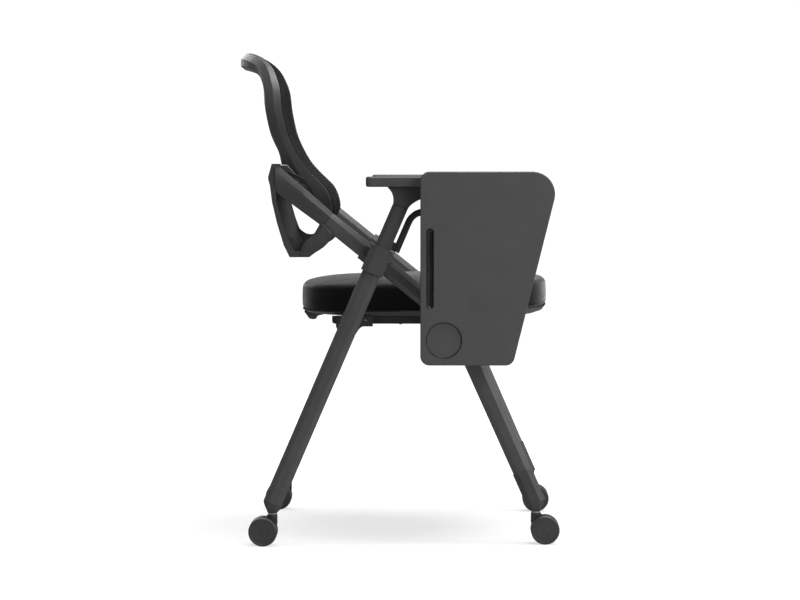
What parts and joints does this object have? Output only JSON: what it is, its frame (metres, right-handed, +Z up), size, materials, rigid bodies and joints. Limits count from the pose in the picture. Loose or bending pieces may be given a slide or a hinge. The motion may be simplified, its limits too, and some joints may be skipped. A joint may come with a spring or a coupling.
{
  "type": "conference chair",
  "caption": "Folding conference chair with a mesh back, an upholstered seat that lifts, armrests, casters and a writing tablet that hangs beside the arm.",
  "frame": {"origin": "middle of the footprint of the unfolded chair with its tablet hanging, on the floor", "axes": "+Z up, +X the way the sitter faces, +Y to the sitter's left"},
  "size_m": [0.5718, 0.6566, 0.865],
  "materials": {
    "frame_grey": "satin grey paint",
    "moulded_black": "fine grain",
    "tablet_grey": "matte laminate",
    "seat_fabric": "woven",
    "mesh_black": "open mesh",
    "steel": "bright",
    "black_steel": "satin black",
    "wheel_grey": "satin"
  },
  "bodies": {
    "front_frame": {"front_leg_right": "frame_grey", "pivot_collar_right": "moulded_black", "pivot_bolt_right": "steel", "foot_cap_front_right": "moulded_black", "caster_stem_front_right": "steel", "front_leg_left": "frame_grey", "pivot_collar_left": "moulded_black", "pivot_bolt_left": "steel", "foot_cap_front_left": "moulded_black", "caster_stem_front_left": "steel", "front_cross_tube": "frame_grey", "back_yoke": "moulded_black", "back_frame": "moulded_black", "back_mesh": "mesh_black"},
    "rear_frame": {"rear_leg_right": "frame_grey", "pivot_sleeve_right": "moulded_black", "arm_post_right": "frame_grey", "foot_cap_rear_right": "moulded_black", "arm_bracket_right": "moulded_black", "armrest_pad_right": "moulded_black", "caster_stem_rear_right": "steel", "rear_leg_left": "frame_grey", "pivot_sleeve_left": "moulded_black", "arm_post_left": "frame_grey", "foot_cap_rear_left": "moulded_black", "arm_bracket_left": "moulded_black", "armrest_pad_left": "moulded_black", "caster_stem_rear_left": "steel", "rear_cross_tube": "frame_grey", "tablet_rod": "black_steel", "tablet_hub": "moulded_black", "tablet_hinge_pin": "steel"},
    "seat": {"seat_cushion": "seat_fabric", "seat_shell": "moulded_black", "seat_pull": "moulded_black", "seat_rail_right": "black_steel", "seat_saddle_right": "moulded_black", "saddle_pin_right": "steel", "seat_rail_left": "black_steel", "seat_saddle_left": "moulded_black", "saddle_pin_left": "steel"},
    "tablet": {"tablet_bracket": "black_steel", "tablet_board": "tablet_grey"},
    "caster_front_right": {"caster_fork_front_right": "moulded_black", "caster_axle_front_right": "steel"},
    "wheel_front_right_outer": {"wheel_front_right_outer": "wheel_grey"},
    "wheel_front_right_inner": {"wheel_front_right_inner": "wheel_grey"},
    "caster_front_left": {"caster_fork_front_left": "moulded_black", "caster_axle_front_left": "steel"},
    "wheel_front_left_outer": {"wheel_front_left_outer": "wheel_grey"},
    "wheel_front_left_inner": {"wheel_front_left_inner": "wheel_grey"},
    "caster_rear_right": {"caster_fork_rear_right": "moulded_black", "caster_axle_rear_right": "steel"},
    "wheel_rear_right_outer": {"wheel_rear_right_outer": "wheel_grey"},
    "wheel_rear_right_inner": {"wheel_rear_right_inner": "wheel_grey"},
    "caster_rear_left": {"caster_fork_rear_left": "moulded_black", "caster_axle_rear_left": "steel"},
    "wheel_rear_left_outer": {"wheel_rear_left_outer": "wheel_grey"},
    "wheel_rear_left_inner": {"wheel_rear_left_inner": "wheel_grey"}
  },
  "joints": [
    {"name": "frame_fold", "type": "hinge", "parent": "front_frame", "child": "rear_frame", "pos_m": [-0.03298, 0.01167, 0.497], "axis": [0, -1, 0], "range_deg": [0, 42]},
    {"name": "seat_fold", "type": "hinge", "parent": "front_frame", "child": "seat", "pos_m": [0.12657, 0.01167, 0.34], "axis": [0, 1, 0], "range_deg": [0, 51.1]},
    {"name": "tablet_swing", "type": "hinge", "parent": "rear_frame", "child": "tablet", "pos_m": [0.15732, -0.28833, 0.624], "axis": [0, -0.7071, 0.7071], "range_deg": [0, 180]},
    {"name": "swivel_front_right", "type": "hinge", "parent": "front_frame", "child": "caster_front_right", "pos_m": [0.24443, -0.24233, 0.02509], "axis": [0, 0, 1], "continuous": true},
    {"name": "roll_front_right_outer", "type": "hinge", "parent": "caster_front_right", "child": "wheel_front_right_outer", "pos_m": [0.26083, -0.24233, 0.02509], "axis": [0, 1, 0], "continuous": true},
    {"name": "roll_front_right_inner", "type": "hinge", "parent": "caster_front_right", "child": "wheel_front_right_inner", "pos_m": [0.26083, -0.24233, 0.02509], "axis": [0, 1, 0], "continuous": true},
    {"name": "swivel_front_left", "type": "hinge", "parent": "front_frame", "child": "caster_front_left", "pos_m": [0.24443, 0.26567, 0.02509], "axis": [0, 0, 1], "continuous": true},
    {"name": "roll_front_left_outer", "type": "hinge", "parent": "caster_front_left", "child": "wheel_front_left_outer", "pos_m": [0.26083, 0.26567, 0.02509], "axis": [0, 1, 0], "continuous": true},
    {"name": "roll_front_left_inner", "type": "hinge", "parent": "caster_front_left", "child": "wheel_front_left_inner", "pos_m": [0.26083, 0.26567, 0.02509], "axis": [0, 1, 0], "continuous": true},
    {"name": "swivel_rear_right", "type": "hinge", "parent": "rear_frame", "child": "caster_rear_right", "pos_m": [-0.21541, -0.27333, 0.02509], "axis": [0, 0, 1], "continuous": true},
    {"name": "roll_rear_right_outer", "type": "hinge", "parent": "caster_rear_right", "child": "wheel_rear_right_outer", "pos_m": [-0.23181, -0.27333, 0.02509], "axis": [0, 1, 0], "continuous": true},
    {"name": "roll_rear_right_inner", "type": "hinge", "parent": "caster_rear_right", "child": "wheel_rear_right_inner", "pos_m": [-0.23181, -0.27333, 0.02509], "axis": [0, 1, 0], "continuous": true},
    {"name": "swivel_rear_left", "type": "hinge", "parent": "rear_frame", "child": "caster_rear_left", "pos_m": [-0.21541, 0.29667, 0.02509], "axis": [0, 0, 1], "continuous": true},
    {"name": "roll_rear_left_outer", "type": "hinge", "parent": "caster_rear_left", "child": "wheel_rear_left_outer", "pos_m": [-0.23181, 0.29667, 0.02509], "axis": [0, 1, 0], "continuous": true},
    {"name": "roll_rear_left_inner", "type": "hinge", "parent": "caster_rear_left", "child": "wheel_rear_left_inner", "pos_m": [-0.23181, 0.29667, 0.02509], "axis": [0, 1, 0], "continuous": true}
  ],
  "couplings": [
    {"joint": "seat_fold", "follows": "frame_fold", "ratio": 1.2167}
  ]
}
